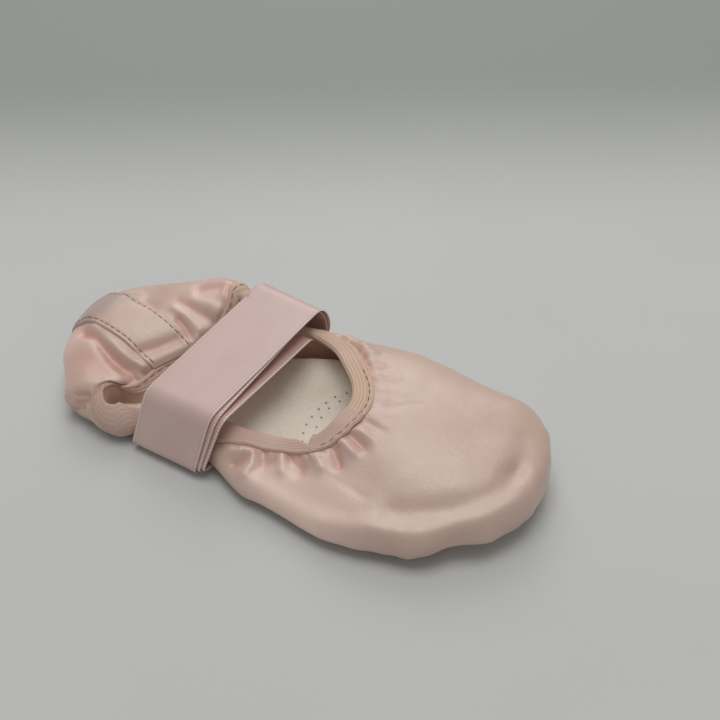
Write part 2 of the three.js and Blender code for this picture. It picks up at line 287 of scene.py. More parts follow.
def makeRibbonSatin(look, name, roughness, plain=None):
    finish, tree, shader = newFinish(name, roughness, Sheen_Weight=0.05, Sheen_Roughness=0.35,
                                     Specular_IOR_Level=0.9)
    spot, scale, depth = objectSpot(tree), look['scale'], look['depth']
    across = addNode(tree, 'SeparateXYZ', Vector=addNode(tree, 'TexCoord').outputs['UV']).outputs['X']
    offset = addNode(tree, 'Math', dict(operation='SUBTRACT'), Value=across)
    offset.inputs[1].default_value = ribbonWidth / 2 * uvPerMm
    fromMiddle = addNode(tree, 'Math', dict(operation='ABSOLUTE'), Value=offset.outputs[0]).outputs[0]
    mottle = cloud(tree, surfaceSpot(tree, (0.5, 0.2, 1)), scale['mottle'], 3, 0.5)
    mottle = stretch(tree, mottle, 0.35, 0.7)
    if plain:
        tint = blendTints(tree, mottle, plain, look['seam'])
    else:
        tint = blendTints(tree, mottle, look['light'], look['soft'])
        # painted shade on the turns under the outer one
        tint = blendTints(tree, surfaceMark(tree, 'inner'), tint, look['inner'])
    picot = stretch(tree, threads(tree, surfaceSpot(tree), scale['picot'], 'Y'), 0.3, 0.7, 0.3, 0.9)
    edgeTint = blendTints(tree, picot, tint, look['edge'])
    seamStart, seamEnd, edgeStart, edgeEnd = (b * uvPerMm for b in look['seamBand'] + look['edgeBand'])
    tint = blendTints(tree, stretch(tree, fromMiddle, seamStart, seamEnd, 0, 0.45), tint, look['seam'])
    tint = blendTints(tree, stretch(tree, fromMiddle, edgeStart, edgeEnd), tint, edgeTint)
    cords = threads(tree, surfaceSpot(tree), scale['cords'], 'X', 0.2)
    grain, creases = (cloud(tree, spot, scale[key], 2) for key in ('grain', 'creases'))
    paint(tree, shader, tint, [
        (cords, depth['cords']), (grain, depth['grain']), (creases, depth['creases']),
    ])
    return finish


threadLook = dict(
    brownThread=dict(light=(0.30, 0.155, 0.10), dark=(0.21, 0.10, 0.065)),
    prickBrown=dict(light=(0.50, 0.37, 0.30), dark=(0.42, 0.30, 0.24)),
    scale=900, depth=0.05,
)


def makeThread(look, name):
    finish, tree, shader = newFinish(name, 0.7, Sheen_Weight=0.2)
    spot, tints = objectSpot(tree), look[name]
    tint = blendTints(tree, patches(tree, spot, look['scale'], 0.3, 0.7), tints['light'], tints['dark'])
    paint(tree, shader, tint, [(threads(tree, spot, look['scale'], 'DIAGONAL'), look['depth'])])
    return finish


satin = makeSatin(satinLook)
lining = makeLining(liningLook)
elastic = makeElastic(elasticLook)
canvas = makeCanvas(canvasLook)
suede = makeSuede(suedeLook)
ribbonSatin = makeRibbonSatin(ribbonLook, 'ribbonSatin', 0.36)
ribbonBack = makeRibbonSatin(ribbonLook, 'ribbonBack', 0.5, ribbonLook['back'])
brownThread = makeThread(threadLook, 'brownThread')
prickBrown = makeThread(threadLook, 'prickBrown')
print('finishes made')


# Sizes of the slipper in mm, along its own middle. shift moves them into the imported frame
shoe = dict(
    length=170, toeSwing=4, toePower=2.7, heelPower=2.8, rimLevel=1.8, rimInset=8, wall=0.9,
    outlineLength=440, outlineSteps=4320, facingStep=0.0025,
)
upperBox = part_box('upper')
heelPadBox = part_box('heel_sole_pad')
shift = np.array([
    upperBox[1].x / mm - shoe['length'] / 2,
    (heelPadBox[0].y + heelPadBox[1].y) / 2 / mm,
    0,
])
arch = dict(heelEnd=-51, heelTop=-39, toeTop=-12, toeEnd=8, lift=2.6)
toeSpring = dict(start=60, end=85, lift=1.6)
widths = dict(x=(-85, -57, -38, -13, 7, 36, 85), half=(33, 33, 26.4, 26.4, 33.4, 38.5, 35.5))
fullRound = 16
# Sections in sixteenths round the shoe, from the toe by way of the far side. x, y, z: plain collar edge,
# side: level of the widest line, rise: how upright the wall starts, reach and lift: how it comes to the edge
sections = dict(
    round=(0, 1, 2, 3, 4, 5, 6, 6.5, 7, 8, 9, 9.6, 10.2, 11, 12, 13, 14, 15),
    x=(22.5, 19.5, 13.5, 5, -7, -20, -32, -32.8, -34.4,
       -39.6, -45.8, -52.5, -55, -26, -6.2, 6.8, 15.9, 21.2),
    y=(0.5, 7, 13, 19.5, 22.5, 22.6, 23.8, 17.5, 8.6,
       -3.5, -15.3, -18.2, -23.2, -17.5, -16.2, -14.5, -13.1, -7.5),
    z=(23.5, 23.5, 23.3, 22.8, 22.5, 23.4, 25.5, 21.2, 15.7,
       11.3, 8.9, 9.9, 11.2, 15.3, 14, 14.4, 17.2, 21.6),
    side=(8.5, 9.4, 10, 10, 9, 7, 9, 10, 11, 11.5, 9.5, 8.2, 6.6, 5.2, 4.4, 4.5, 5.6, 6.8),
    rise=(12.5, 14, 13, 11, 9, 9, 13, 15, 16, 15.5, 11, 8, 3.5, 3.4, 3.8, 4.3, 7, 9),
    reach=(0.78, 0.66, 0.45, 0.4, 0.35, 0.3, 0.3, 0.32, 0.33,
           0.3, 0.35, 0.35, 0.35, 0.3, 0.5, 0.52, 0.66, 0.74),
    lift=(0.6, 2.0, 2.5, 2, 1.5, 1, 5, 12, 17.5, 16, 13.2, 7.2, 1.5, -1.5, -3, -3, -1.8, -1.0),
)
# drop: how far the collar edge lies below the plain edge. hang: how far the binding's fold hangs inside
collarTrim = dict(
    round=(0, 5, 6, 7.4, 8.4, 9.3, 9.5, 9.7, 10.05, 10.4, 10.9, 11.4, 13.55, 13.82, 14.08, 16),
    drop=(1.7, 1.7, 1.2, 1.2, 1.3, 1.4, 3, 7.6, 8.6, 6.4, 3.6, 1.9, 1.9, 4.2, 1.7, 1.7),
    hang=(0, 0, 0, 1.5, 6.5, 9, 9.5, 8.5, 3, 0, 0, 0, 0, 0, 0, 0),
)
# How far the binding's outer and inner legs reach down from the collar edge
bindingLeg = dict(
    round=(0, 1, 2.5, 4, 5, 6, 6.75, 7.4, 8.2, 8.45, 9, 9.35,
           9.6, 9.8, 10.2, 10.8, 11.3, 11.7, 12.1, 13.55, 13.82, 14.08, 15, 16),
    leg=(5.6, 5.6, 5, 4.6, 4.5, 3.6, 3.3, 3.4, 5.2, 5.4, 4, 4,
         5.2, 6, 8, 9, 8, 6, 4.5, 4.6, 2.4, 4.9, 5.2, 5.6),
    inner=(5.5, 5.5, 5.5, 5.5, 5.5, 6, 7, 7, 8, 8.5, 9.5, 8.5,
           6, 5, 5, 5.5, 5.5, 5.5, 5.5, 5.5, 5.5, 5.5, 5.5, 5.5),
)


def ease(t):
    t = np.clip(t, 0, 1)
    return t * t * (3 - 2 * t)


def rampUp(value, start, over):
    return ease((value - start) / over)


def rampDown(value, start, over):
    return ease((start - value) / over)


def bell(distance, width):
    return np.exp(-(distance / width) ** 2)


def unit(vectors):
    return vectors / np.maximum(np.linalg.norm(vectors, axis=-1, keepdims=True), 1e-9)


def closeLoop(rows):
    return np.concatenate([rows, rows[:1]])


def walkedAlong(spots):
    # distance from the first place of a row, walked along the row
    steps = np.linalg.norm(np.diff(spots, axis=-2), axis=-1)
    return np.concatenate([np.zeros((*steps.shape[:-1], 1)), np.cumsum(steps, axis=-1)], axis=-1)


def roundTable(table, key, u):
    return np.interp((u % 1) * fullRound, table['round'], table[key])


def soleLift(x):
    up = rampUp(x, arch['heelEnd'], arch['heelTop'] - arch['heelEnd'])
    down = rampUp(x, arch['toeTop'], arch['toeEnd'] - arch['toeTop'])
    spring = rampUp(x, toeSpring['start'], toeSpring['end'] - toeSpring['start'])
    return arch['lift'] * (up - down) + toeSpring['lift'] * spring


def halfWidth(x):
    places, halves = np.array(widths['x'], float), np.array(widths['half'])
    b = np.clip(np.searchsorted(places, x), 1, len(places) - 1)
    t = rampUp(x, places[b - 1], places[b] - places[b - 1])
    return halves[b - 1] + (halves[b] - halves[b - 1]) * t


def toeSwing(x):
    return shoe['toeSwing'] * np.maximum(x / (shoe['length'] / 2), 0) ** 2


def walkOutline():
    a = np.linspace(0, 2 * math.pi, shoe['outlineSteps'] + 1)
    power = 2 / np.where(np.cos(a) > 0, shoe['toePower'], shoe['heelPower'])
    x = shoe['length'] / 2 * np.sign(np.cos(a)) * np.abs(np.cos(a)) ** power
    y = halfWidth(x) * np.sign(np.sin(a)) * np.abs(np.sin(a)) ** power + toeSwing(x)
    walked = walkedAlong(np.stack([x, y], -1))
    return walked / walked[-1], x, y


outlineWay, outlineX, outlineY = walkOutline()


def outlineAt(u):
    # place on the outline, and the way it faces there
    def spot(w):
        return np.interp(w % 1, outlineWay, outlineX), np.interp(w % 1, outlineWay, outlineY)

    step = shoe['facingStep']
    (x, y), (ax, ay), (bx, by) = spot(u), spot(u + step), spot(u - step)
    size = np.hypot(ax - bx, ay - by)
    return x, y, (ay - by) / size, -(ax - bx) / size


def sectionValue(column, u):
    # a smooth curve through the column's values, closed round the shoe
    rounds, values = np.array(sections['round'], float), np.array(sections[column], float)
    at = np.concatenate([rounds[-1:] - fullRound, rounds, rounds[:2] + fullRound])
    value = np.concatenate([values[-1:], values, values[:2]])
    place = (u % 1) * fullRound
    i = np.searchsorted(at, place, side='right') - 1
    span = at[i + 1] - at[i]
    t = (place - at[i]) / span
    slopeA = (value[i + 1] - value[i - 1]) / (at[i + 1] - at[i - 1]) * span
    slopeB = (value[i + 2] - value[i]) / (at[i + 2] - at[i]) * span
    cubic = 2 * (value[i] - value[i + 1]) + slopeA + slopeB
    square = 3 * (value[i + 1] - value[i]) - 2 * slopeA - slopeB
    return ((cubic * t + square) * t + slopeA) * t + value[i]


def shellSpots(u, v):
    # u: stations from the toe by way of the far side. v: -1 rim, 0 widest line, 1 collar edge
    u, v = np.broadcast_arrays(u, v)
    x, y, outX, outY = outlineAt(u)
    side = sectionValue('side', u)
    turn = np.clip(-v, 0, 1) * math.pi / 2
    inset = shoe['rimInset'] * (1 - np.cos(turn))
    lowX, lowY = x - outX * inset, y - outY * inset
    lowZ = side - (side - shoe['rimLevel'] - soleLift(lowX)) * np.sin(turn)
    low = np.stack([lowX, lowY, lowZ], -1)
    collar = np.stack([sectionValue(key, u) for key in 'xyz'], -1)
    wide = np.stack([x, y, side], -1)
    upright = wide + np.stack([0 * x, 0 * x, sectionValue('rise', u)], -1)
    crown = collar + (wide - collar) * sectionValue('reach', u)[..., None]
    crown[..., 2] = collar[..., 2] + sectionValue('lift', u)
    t = np.clip(v, 0, 1)[..., None]
    high = wide * (1 - t) ** 3 + 3 * upright * t * (1 - t) ** 2
    high = high + 3 * crown * t * t * (1 - t) + collar * t ** 3
    return np.where((v < 0)[..., None], low, high)


# Mesh helpers
def editAll(*steps):
    # edit-mode steps, each on the whole of the active mesh
    bpy.ops.object.mode_set(mode='EDIT')
    for step in steps:
        bpy.ops.mesh.select_all(action='SELECT')
        step()
    bpy.ops.object.mode_set(mode='OBJECT')


def mergeDoubles():
    bpy.ops.mesh.remove_doubles(threshold=mergeDistance)


def faceOutwards():
    bpy.ops.mesh.normals_make_consistent(inside=False)


def layGrid(name, spots, uv, marks=None):
    rows, columns = spots.shape[:2]
    deselect()
    bpy.ops.mesh.primitive_grid_add(x_subdivisions=columns - 1, y_subdivisions=rows - 1, size=0.1)
    piece = bpy.context.object
    piece.name = piece.data.name = name
    mesh = piece.data
    mesh.vertices.foreach_set('co', ((spots + shift) * mm).ravel())
    corner = np.empty(len(mesh.loops), int)
    mesh.loops.foreach_get('vertex_index', corner)
    mesh.uv_layers[0].data.foreach_set('uv', uv.reshape(-1, 2)[corner].ravel())
    for key, value in (marks or {}).items():
        shares = np.broadcast_to(value, (rows, columns)).astype(np.float32)
        mesh.attributes.new(key, 'FLOAT', 'POINT').data.foreach_set('value', shares.ravel())
    editAll(mergeDoubles)
    bpy.ops.object.shade_smooth()
    return piece


def layPlate(name, loops):
    # loops of equal count, the first and last shrunk to a point, laid as one closed skin
    spots = closeLoop(np.stack(loops, axis=1))
    return layGrid(name, spots, spots[..., :2] * uvPerMm)


def thicken(piece, thickness, offset, inner=0, rim=0):
    bpy.context.view_layer.objects.active = piece
    wall = piece.modifiers.new('wall', 'SOLIDIFY')
    wall.thickness = thickness * mm
    wall.offset = offset
    wall.material_offset = inner
    wall.material_offset_rim = rim
    bpy.ops.object.modifier_apply(modifier='wall')


def joinCopies(name, copies):
    deselect()
    for copy in copies:
        copy.select_set(True)
    bpy.context.view_layer.objects.active = copies[0]
    bpy.ops.object.join()
    joined = bpy.context.object
    joined.name = joined.data.name = name
    return joined


def dress(piece, slotName, nodes, *finishes):
    piece.data.materials.clear()
    for finish in finishes:
        piece.data.materials.append(finish)
    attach(piece, 'root')
    if nodes:
        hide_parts(*nodes)


# Crossing waves: each is turned, stretched and set off from the one before
waveShape = dict(
    count=5, seedTurn=1.7, turn=2.39996, climb=0.6, climbTurn=2.1,
    shortest=0.75, longer=0.17, seedPhase=1.3, phase=2.1,
)


def waves(spots, length, seed):
    # gentle unevenness
    w = waveShape
    total = 0
    for k in range(w['count']):
        angle = seed * w['seedTurn'] + k * w['turn']
        axis = np.array([math.cos(angle), math.sin(angle), w['climb'] * math.sin(w['climbTurn'] * angle)])
        waveLength = length * (w['shortest'] + w['longer'] * k)
        phase = w['seedPhase'] * seed + w['phase'] * k
        total = total + np.sin((spots @ axis) * 2 * math.pi / waveLength + phase)
    return total / w['count']


# Folds of the upper: points in the imported frame (x, y, z in mm), then width and height in mm,
# and for a hollow how much painted shade, a red tint, it gets where that isn't the usual share
upperFolds = dict(
    toeTrough=([
        (51.5, -25, 14), (56.3, -23.2, 14.7), (61.3, -20.6, 15.6), (65.9, -17.7, 16.3),
        (70.3, -13.8, 16.9), (74.3, -9, 17.3), (76.9, -3.6, 17.5), (78, 2, 17.8),
    ], 3.4, -0.9, 0.0),
    toeRimTrough=([(77.6, 2, 18), (77.2, 7.9, 18.6), (75, 14, 19)], 2.8, -0.6, 0.0),
    toeRidge=([
        (52, -30, 11), (58.6, -27.4, 11.7), (63.4, -24.8, 12.5), (68, -21.5, 13.5),
        (72.4, -17.5, 14.3), (76.5, -13, 14.8), (79.9, -7.4, 15), (82, -0.2, 15),
        (82.5, 7.7, 15.2), (80.9, 14.8, 15.5), (77.6, 21.2, 14.8),
    ], 2.8, 1.0),
    toeDimple=([(76.5, 0, 18.2), (77.8, 2.5, 18)], 3.2, -0.7, 0.3),
    vampCrease=([(32.3, 1.3, 23.6), (37.5, 5.2, 23.8), (42.2, 8.9, 23.8)], 0.9, -0.22, 0.0),
    vampStreak=([(25.5, 12.3, 24), (32.1, 15.5, 24.2)], 1.0, 0.25),
    vampDiagonal=([(28.8, -22.3, 14.2), (36, -23.5, 14.3), (42.3, -24.5, 14.2)], 1.2, -0.2, 0.0),
    ballSwell=([(30, -26, 13), (38, -28, 12.5), (46, -28.5, 12.3)], 5, 0.7),
    ballShoulder=([(33.2, -34, 9.4), (40.4, -33, 9.9), (47.3, -31, 10.6), (54, -29, 11.2)], 2.6, 0.6),
    farHollow=([(62.5, 7.2, 22), (67.4, 11.1, 20.8)], 6, -0.7, 0.0),
    nearShoulder=([
        (5.6, -31.2, 9.5), (12, -31.9, 9.1), (18.8, -33, 9), (26.3, -34, 9.2),
        (33.2, -34, 9.4), (40.4, -33, 9.9), (47.3, -31, 10.6),
    ], 2.8, 0.9),
    nearLobe=([(-4.6, -24.2, 11.4), (-1.2, -24.2, 11.8)], 2.0, 1.2),
    nearFoldShade=([(-1.6, -28.2, 9.6), (0, -27.4, 10.8), (1.2, -24.6, 11.7)], 1.4, -1.4, 0.8),
    nearFold=([(2.3, -23.4, 11.9), (4, -26.4, 11.2), (3, -29.6, 9.8)], 1.6, 1.2),
    nearHollow=([(4.8, -22.4, 12.1), (6.8, -24.4, 11.6), (9, -22.6, 12.3)], 2.2, -1.4, 0.6),
    nearRib=([(10.9, -20.5, 12.8), (13.6, -24.8, 11.8)], 1.7, 1.0),
    ballHollow=([(14, -20.2, 13.2), (16.6, -20.8, 13.3), (19.2, -23, 12.8)], 2.3, -1.5, 0.6),
    ballKnob=([(20.8, -17.6, 15.2), (25.2, -20.6, 14.4)], 1.9, 1.6),
    ballGather=([(25.8, -14.4, 18), (30.2, -18.8, 16)], 1.5, -1.8, 0.7),
    toeKnob=([(27.5, -12, 19.8), (32.2, -14.2, 19.1)], 1.7, 1.4),
    toeGather=([(27.9, -10, 21), (34.6, -12, 20.5)], 1.7, -1.4, 0.7),
    throatKnob=([(29, -7.9, 21.8), (34.4, -8.7, 21.7)], 1.5, 0.8),
    throatGather=([(30, -4.9, 22.7), (37, -4.9, 22.6)], 1.4, -0.7, 0.5),
    throatRidge=([(30.2, -1.5, 23.4), (36, -0.6, 23.5)], 1.4, 0.3),
    farDimple=([(11, 23.4, 23.2), (17, 19.2, 23.8), (20.7, 15.2, 24)], 1.7, -1.4, 0.6),
    farDimpleRidge=([(7.3, 26.5, 22.1), (13.5, 25.9, 22.9), (19, 23, 23.7)], 2.0, 0.8),
    farPucker=([(21.5, 17.5, 24), (24.6, 18.6, 24.1)], 1.4, -0.6),
    heelCrest=([(-75.2, -3.9, 22), (-71.3, 2.1, 23.7), (-67.7, 8.6, 24.8)], 3.0, 1.5),
    heelValley=([
        (-74.8, -10.8, 20.6), (-68.5, -10.8, 21.5), (-63, -13, 20.6),
        (-58.1, -14.7, 19.1), (-53.7, -15.6, 17), (-50.1, -15.8, 14.7),
    ], 2.1, -2.2, 0.6),
    heelRidge=([
        (-71.1, -8.6, 21.8), (-63.4, -11.2, 20.9), (-57.5, -12.3, 19.3),
        (-52.9, -12.4, 17.4), (-49.1, -11.6, 15.6),
    ], 1.5, 1.3),
    heelCrease=([(-64, -14.6, 20.4), (-56.4, -17, 18), (-51, -17.2, 14.9)], 0.9, -0.5, 0.6),
    # broad painted shade, a red tint, on the near and far heel with hardly any fold
    nearHeelPaintedShade=([(-76, -16, 17), (-68, -22, 15), (-58, -21, 16)], 9, -0.05, 5.0),
    farHeelPaintedShade=([(-52, 17, 26), (-42, 15, 24)], 7, -0.05, 2.0),
    heelHollow=([(-70, -20, 17), (-60, -20, 18)], 5.5, -1.1, 0.6),
    heelLip=([
        (-65.8, -26.3, 10.1), (-56, -24.5, 15.1), (-53, -18.9, 14.6), (-50.9, -16.6, 14.4),
    ], 1.5, 0.8),
    heelDimpleA=([(-61.4, -27.5, 11.5), (-57.1, -27.8, 12.9)], 0.5, -1.2, 0.6),
    heelDimpleB=([(-60.7, -28.1, 9.4), (-56.5, -28.6, 11.6)], 0.5, -1.3, 0.6),
    heelDimpleC=([(-62.6, -27.2, 7), (-57.7, -28.9, 8.9)], 0.5, -1.2, 0.6),
    farTriangle=([(-47.4, 7.4, 23), (-44, 6.5, 21.5), (-41.4, 5.4, 20)], 1.2, -1.2, 1.1),
    farLine=([(-51.2, 9.8, 24.6), (-45.3, 9.6, 22.8), (-40, 8.4, 19.8)], 1.2, 0.8),
    farRidge=([(-46.6, 14.9, 25.9), (-41.1, 15.6, 25.1), (-36.7, 15.8, 23.5)], 1.6, 0.8),
    farValley=([(-51.1, 13.3, 25.9), (-43, 12.6, 24.4), (-37.9, 12.8, 22.7)], 2.0, -0.5, 2.0),
    farTopValley=([
        (-46.5, 19.5, 26.9), (-41.2, 22.2, 27), (-37.5, 22.8, 27), (-35.4, 22, 26.4),
    ], 1.9, -1.5, 0.5),
    farStripShade=([(-66, 9, 24.9), (-57.7, 7.6, 24.5)], 2.0, -0.8, 0.2),
)
# Places that stand out from the plain form: middle, reach and height in mm
upperSwells = dict(
    nearWaist=((-6, -29, 6), (11, 9, 9), 1.2),
    nearSide=((25, -36, 5), (13, 9, 9), -0.9),
    nearToe=((60, -28, 5), (6, 6, 8), 1.7),
    toePleat=((70.5, -21.5, 6), (5, 5, 7), -1.8),
    toeCorner=((80, -9, 6), (6, 8, 8), -1.8),
    farToe=((70, 27, 14), (12, 9, 9), 3.8),
    nearHeel=((-65, -27, 6), (9, 8, 9), 4.6),
    nearBand=((-47, -28, 4), (9, 9, 8), 4.2),
    farCorner=((-38, 25.5, 26.5), (13, 9, 8), 3.8),
    farHeel=((-65, 12, 25), (8, 6, 7), -2.2),
    heelBack=((-79, -8, 19), (7, 8, 7), -1.3),
)
# Small puckers under the binding: place in sixteenths round the shoe, depth, half width, reach, in mm
gathers = [
    (11.6, 0.4, 1, 1.7), (11.95, 0.5, 0.9, 1.9), (12.31, 0.35, 0.9, 1.4), (12.5, 0.45, 0.9, 2.2),
    (12.86, 0.35, 0.8, 1.4), (13.05, 0.5, 0.9, 2.2), (13.36, 0.3, 0.8, 1.1), (13.62, 0.5, 0.8, 1.9),
    (13.8, 0.35, 0.8, 1.4), (14.06, 0.6, 0.9, 2.2), (14.24, 0.35, 0.7, 1.4), (14.5, 0.55, 0.9, 2.2),
    (14.78, 0.35, 0.8, 1.4), (15.02, 0.5, 0.9, 2.2), (15.3, 0.25, 0.8, 1.4), (15.55, 0.35, 0.9, 2.2),
    (15.9, 0.2, 0.9, 1.7), (0.3, 0.16, 0.8, 3), (0.7, 0.2, 0.9, 5), (1.2, 0.15, 0.8, 3),
    (1.62, 0.2, 0.8, 4), (2.05, 0.3, 0.8, 3), (2.4, 0.45, 0.9, 4), (2.72, 0.5, 0.9, 4),
    (3.1, 0.45, 0.9, 4), (3.5, 0.4, 0.9, 4), (6.1, 0.5, 1, 5), (6.45, 0.45, 0.9, 4),
    (6.8, 0.5, 0.9, 5), (7.1, 0.5, 0.8, 4), (8.66, 0.5, 0.8, 4), (8.9, 0.5, 0.8, 4), (9.08, 0.6, 0.8, 5),
]
# Distances in mm. Each gather spreads as it runs down and has a small crown on each side
upperShape = dict(
    stations=400, wallRows=76, rimRows=27, floor=1.0, heightShare=0.55,
    fold=dict(shade=0.5, narrow=0.8, ridgeLight=0.4, tint=0.6, mostTint=0.85),
    gather=dict(spread=0.12, crown=0.6, crownAt=2.1, crownWidth=0.9, shade=0.8, shadeWidth=0.9),
    seam=dict(holdFrom=-0.7, holdOver=1.9, puff=0.55, puffAt=2.2, puffWidth=1.9, shade=0.9, shadeWidth=0.9),
    slack=((0.22, 34, 1), (0.10, 13, 2)),  # height, length and seed of the gentle waves
)
# Pleats of the turned-under edge, at the toe and less at the heel. raisePath: where it is drawn up
edgePleats = dict(
    pitch=8.5, height=0.12, hollow=0.4, wander=1.2, wanders=9,
    toeFrom=25, toeOver=30, heelFrom=-35, heelOver=15, heelShare=0.55,
    toeRaise=1.8, raiseWidth=6, raisePath=[(63, -26, 4), (68, -20, 4), (73.5, -16.5, 4)],
)


def distanceTo(spots, path):
    # shortest distance to a path, where heights count for less
    path = np.array(path, float) - shift
    flat = np.array([1, 1, upperShape['heightShare']])
    nearest = np.full(spots.shape[:-1], np.inf)
    for a, b in zip(path[:-1], path[1:]):
        line = (b - a) * flat
        t = np.clip(((spots - a) * flat) @ line / (line @ line), 0, 1)
        gap = np.linalg.norm((spots - a) * flat - t[..., None] * line, axis=-1)
        nearest = np.minimum(nearest, gap)
    return nearest


def stepRound(spots):
    # from the station before to the station after, round the closed shoe
    return np.roll(spots[:-1], -1, axis=0) - np.roll(spots[:-1], 1, axis=0)


def surfaceNormals(spots):
    return closeLoop(unit(np.cross(stepRound(spots), -np.gradient(spots[:-1], axis=1))))


def addFolds(heights, shade, plain):
    shape = upperShape['fold']
    for path, width, height, *red in upperFolds.values():
        gap = distanceTo(plain, path)
        share = bell(gap, width)
        heights += height * share
        tone = red[0] if red else shape['shade']
        shade += tone * max(-height, 0) * bell(gap, shape['narrow'] * width)
        shade -= shape['ridgeLight'] * max(height, 0) * share


def addGathers(heights, shade, plain, u, past):
    # they run down from the binding along the stations
    shape = upperShape['gather']
    spacing = closeLoop(np.linalg.norm(stepRound(plain), axis=2) * upperShape['stations'] / 2)
    roundPlace = (u * fullRound)[:, None]
    down = np.maximum(past, 0)
    for place, depth, width, reach in gathers:
        away = (roundPlace - place + fullRound / 2) % fullRound - fullRound / 2
        side = np.abs(away) / fullRound * spacing / width / (1 + shape['spread'] * down)
        fade = np.exp(-down / reach)
        crown = shape['crown'] * bell(side - shape['crownAt'], shape['crownWidth'])
        heights += depth * fade * (crown - bell(side, 1))
        shade += shape['shade'] * depth * fade * bell(side, shape['shadeWidth'])


def addPleats(heights, plain, u, v):
    shape, x = edgePleats, plain[..., 0]
    atToe = rampUp(x, shape['toeFrom'], shape['toeOver'])
    atHeel = shape['heelShare'] * rampDown(x, shape['heelFrom'], shape['heelOver'])
    way = u * shoe['outlineLength'] / shape['pitch']
    pleat = np.cos(2 * math.pi * way + shape['wander'] * np.sin(2 * math.pi * u * shape['wanders']))
    pleat = (pleat - shape['hollow'] * np.maximum(-pleat, 0) ** 3)[:, None]
    low = (rampDown(v, 0.22, 0.35) * rampUp(v, -1.05, 0.3))[None, :]  # only round the rim
    heights += shape['height'] * np.maximum(atToe, atHeel) * low * pleat


def makeUpperSurface():
    stations, seam, fold = upperShape['stations'], upperShape['seam'], upperShape['fold']
    u = np.arange(stations + 1) / stations
    wallRows = np.linspace(1, 0, upperShape['wallRows'])
    v = np.concatenate([wallRows, np.linspace(0, -1, upperShape['rimRows'] + 1)[1:]])
    column, row = u[:, None], v[None, :]
    walked = walkedAlong(shellSpots(column, row))
    drop, leg = roundTable(collarTrim, 'drop', u), roundTable(bindingLeg, 'leg', u)
    top = np.array([np.interp(drop[i], walked[i], v) for i in range(stations + 1)])
    plain = shellSpots(column, np.where(row > 0, row * top[:, None], row))
    normals = surfaceNormals(plain)
    below = walkedAlong(plain)
    past = below - leg[:, None]  # distance past the binding's outer edge
    held = rampUp(past, seam['holdFrom'], seam['holdOver'])  # the binding holds the edge in
    heights, shade = np.zeros(plain.shape[:2]), np.zeros(plain.shape[:2])
    addFolds(heights, shade, plain)
    addGathers(heights, shade, plain, u, past)
    heights += seam['puff'] * bell(past - seam['puffAt'], seam['puffWidth'])  # the satin swells by the seam
    # painted shade just beside the seam
    shade += seam['shade'] * bell(np.maximum(past, 0), seam['shadeWidth'])
    addPleats(heights, plain, u, v)
    heights *= held
    heights += held * sum(height * waves(plain, length, seed) for height, length, seed in upperShape['slack'])
    for middle, reach, height in upperSwells.values():
        gap = np.linalg.norm((plain + shift - np.array(middle)) / np.array(reach), axis=-1)
        heights += height * bell(gap, 1)
    spots = plain + normals * heights[..., None]
    # between two pleats by the toe the lower edge is drawn up
    drawnUp = bell(distanceTo(plain, edgePleats['raisePath']), edgePleats['raiseWidth'])
    spots[..., 2] += edgePleats['toeRaise'] * drawnUp * rampDown(row, 0.45, 0.6)
    spots[..., 2] = np.maximum(spots[..., 2], upperShape['floor'])  # the floor stops it
    spots[-1] = spots[0]
    # the fold mark is painted shade: a red tint in hollows, gathers and beside the seam, less on ridges
    tint = np.clip(shade * fold['tint'], 0, fold['mostTint']) * held
    return dict(u=u, v=v, spots=spots, below=below, fold=tint, leg=leg)


upperSurface = makeUpperSurface()
upperNormals = surfaceNormals(upperSurface['spots'])
print('upper shaped')

# Small dull marks on the toe: place, reach in mm and share
toeMarks = [((72.7, 21, 17.3), 1.6, 0.5), ((80.5, -8, 8), 1.5, 0.5), ((66, -28.5, 8), 1.8, 0.5)]
# Painted sheen: places where the satin is painted paler in place of light from its sheen: place, reach in mm
# and share
paintedSheenPlaces = [
    ((-77, -18, 15), 10, 1.0), ((30, -32, 9), 13, 1.0), ((13, -29.5, 8), 9, 0.7), ((-43, 15, 25), 9, 0.9),
]
rimDarkening = dict(share=0.45, top=6.5, over=5)  # darker towards the floor along the rim, levels in mm


def markPlaces(spots, places):
    marks = []
    for middle, reach, share in places:
        marks.append(share * bell(np.linalg.norm(spots + shift - np.array(middle), axis=-1), reach))
    return np.array(marks)


def makeUpper(surface):
    spots, grimeAndShade = surface['spots'], rimDarkening
    rim = rampDown(surface['v'][None, :], 0.1, 0.5)
    # darker towards the floor along the rim; the toe marks are real dirt
    worn = grimeAndShade['share'] * rampDown(spots[..., 2], grimeAndShade['top'], grimeAndShade['over']) * rim
    worn = np.maximum(worn, markPlaces(spots, toeMarks).max(axis=0))
    # painted sheen: a paler tint standing in for light on the satin
    paintedSheen = markPlaces(spots, paintedSheenPlaces).sum(axis=0)
    along = surface['u'][:, None] * shoe['outlineLength']
    uv = np.stack(np.broadcast_arrays(along, surface['below']), -1) * uvPerMm
    piece = layGrid('satinUpper', spots, uv, dict(fold=surface['fold'], paintedSheen=paintedSheen, grimeAndShade=worn))
    dress(piece, 'satin', ['upper'], satin, lining)
    thicken(piece, shoe['wall'], -1, 1, 1)
    return piece


upper = makeUpper(upperSurface)
print('upper made', len(upper.data.polygons))


def wallPlace(surface, normals, distance):
    # places on the wall at distances below the collar edge, a row of distances for each station
    spots, facing = [], []
    for i, walked in enumerate(surface['below']):
        for found, field in ((spots, surface['spots']), (facing, normals)):
            found.append(np.stack([np.interp(distance[i], walked, field[i, :, k]) for k in range(3)], -1))
    return np.array(spots), unit(np.array(facing))


